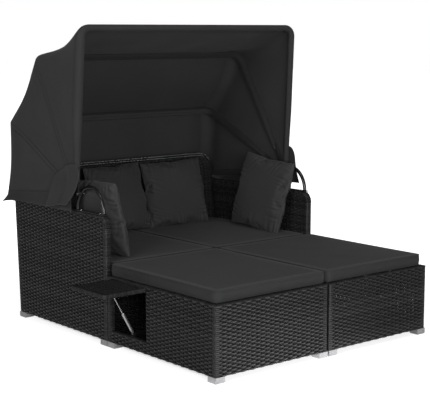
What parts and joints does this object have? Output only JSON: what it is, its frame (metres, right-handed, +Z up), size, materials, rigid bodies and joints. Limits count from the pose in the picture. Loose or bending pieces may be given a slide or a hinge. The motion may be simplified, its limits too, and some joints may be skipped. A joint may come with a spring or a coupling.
{
  "type": "outdoor daybed with canopy",
  "caption": "Woven outdoor daybed: a sofa under a folding fabric hood, with matching ottomans pushed up to its seat, each with a flap side table on a gas strut.",
  "frame": {"origin": "on the floor, under the middle of the bounding box of the whole set", "axes": "+X to the right of a person who stands in front of the ottomans and looks at the sofa, +Y towards the sofa's back, +Z up"},
  "size_m": [1.7184, 1.8044, 1.5946],
  "materials": {
    "weave": "satin",
    "painted_steel": "gloss",
    "cloth": "matte",
    "foot": "satin",
    "bright_metal": "polished",
    "board": "satin"
  },
  "bodies": {
    "sofa": {"left_side_weave": "weave", "left_side_frame": "painted_steel", "right_side_weave": "weave", "right_side_frame": "painted_steel", "back_weave": "weave", "back_frame": "painted_steel", "back_braid": "weave", "seat_frame": "painted_steel", "front_apron": "weave", "seat_deck": "weave", "sofa_front_left_foot": "foot", "sofa_rear_left_foot": "foot", "sofa_front_right_foot": "foot", "sofa_rear_right_foot": "foot", "left_seat_cushion": "cloth", "right_seat_cushion": "cloth", "left_arm_pillow": "cloth", "back_left_pillow": "cloth", "back_right_pillow": "cloth", "right_arm_pillow": "cloth", "left_arch": "painted_steel", "right_arch": "painted_steel", "left_pivot_bolt": "bright_metal", "right_pivot_bolt": "bright_metal", "rear_bow": "painted_steel"},
    "third_bow": {"third_bow": "painted_steel", "rear_canopy_panel": "cloth"},
    "second_bow": {"second_bow": "painted_steel", "middle_canopy_panel": "cloth", "left_canopy_flap": "cloth", "right_canopy_flap": "cloth"},
    "front_bow": {"front_bow": "painted_steel", "front_canopy_panel": "cloth"},
    "left_ottoman": {"left_ottoman_weave": "weave", "left_ottoman_frame": "painted_steel", "left_ottoman_deck": "weave", "left_ottoman_cushion": "cloth", "left_ottoman_front_outer_foot": "foot", "left_ottoman_front_inner_foot": "foot", "left_ottoman_rear_outer_foot": "foot", "left_ottoman_rear_inner_foot": "foot", "left_table_hinge_pin": "bright_metal"},
    "left_table": {"left_table_panel": "board", "left_table_bracket": "painted_steel"},
    "left_strut_cylinder": {"left_strut_cylinder": "bright_metal"},
    "left_strut_rod": {"left_strut_rod": "bright_metal"},
    "right_ottoman": {"right_ottoman_weave": "weave", "right_ottoman_frame": "painted_steel", "right_ottoman_deck": "weave", "right_ottoman_cushion": "cloth", "right_ottoman_front_outer_foot": "foot", "right_ottoman_front_inner_foot": "foot", "right_ottoman_rear_outer_foot": "foot", "right_ottoman_rear_inner_foot": "foot", "right_table_hinge_pin": "bright_metal"},
    "right_table": {"right_table_panel": "board", "right_table_bracket": "painted_steel"},
    "right_strut_cylinder": {"right_strut_cylinder": "bright_metal"},
    "right_strut_rod": {"right_strut_rod": "bright_metal"}
  },
  "joints": [
    {"name": "third_bow_pivot", "type": "hinge", "parent": "sofa", "child": "third_bow", "pos_m": [0.09275, 0.18356, 0.75031], "axis": [-1, 0, 0], "range_deg": [0, 22.5], "deforming": ["rear_canopy_panel"]},
    {"name": "second_bow_pivot", "type": "hinge", "parent": "third_bow", "child": "second_bow", "pos_m": [0.09275, 0.18356, 0.75031], "axis": [-1, 0, 0], "range_deg": [0, 22.5], "deforming": ["middle_canopy_panel"]},
    {"name": "front_bow_pivot", "type": "hinge", "parent": "second_bow", "child": "front_bow", "pos_m": [0.09275, 0.18356, 0.75031], "axis": [-1, 0, 0], "range_deg": [0, 22.5], "deforming": ["front_canopy_panel"]},
    {"name": "left_ottoman_slide", "type": "slide", "parent": "sofa", "child": "left_ottoman", "axis": [0, -1, 0], "range_m": [0, 0.6]},
    {"name": "right_ottoman_slide", "type": "slide", "parent": "sofa", "child": "right_ottoman", "axis": [0, -1, 0], "range_m": [0, 0.6]},
    {"name": "left_table_hinge", "type": "hinge", "parent": "left_ottoman", "child": "left_table", "pos_m": [-0.61125, -0.23716, 0.343], "axis": [0, -1, 0], "range_deg": [0, 90]},
    {"name": "left_strut_swing", "type": "hinge", "parent": "left_ottoman", "child": "left_strut_cylinder", "pos_m": [-0.58925, -0.23716, 0.096], "axis": [0, 1, 0], "range_deg": [0, 36]},
    {"name": "left_strut_slide", "type": "slide", "parent": "left_strut_cylinder", "child": "left_strut_rod", "axis": [-0.4934, 0, 0.8698], "range_m": [-0.0873, 0]},
    {"name": "right_table_hinge", "type": "hinge", "parent": "right_ottoman", "child": "right_table", "pos_m": [0.79675, -0.23716, 0.343], "axis": [0, -1, 0], "range_deg": [0, 90]},
    {"name": "right_strut_swing", "type": "hinge", "parent": "right_ottoman", "child": "right_strut_cylinder", "pos_m": [0.77475, -0.23716, 0.096], "axis": [0, 1, 0], "range_deg": [0, 36]},
    {"name": "right_strut_slide", "type": "slide", "parent": "right_strut_cylinder", "child": "right_strut_rod", "axis": [-0.1119, 0, 0.9937], "range_m": [0, 0.0873]}
  ],
  "couplings": [
    {"joint": "second_bow_pivot", "follows": "third_bow_pivot", "ratio": 1},
    {"joint": "front_bow_pivot", "follows": "third_bow_pivot", "ratio": 1},
    {"joint": "left_strut_swing", "follows": "left_table_hinge", "ratio": 0.39989},
    {"joint": "left_strut_slide", "follows": "left_table_hinge", "m_per_rad": -0.055507},
    {"joint": "right_strut_swing", "follows": "right_table_hinge", "ratio": 0.39989},
    {"joint": "right_strut_slide", "follows": "right_table_hinge", "m_per_rad": 0.055507}
  ]
}
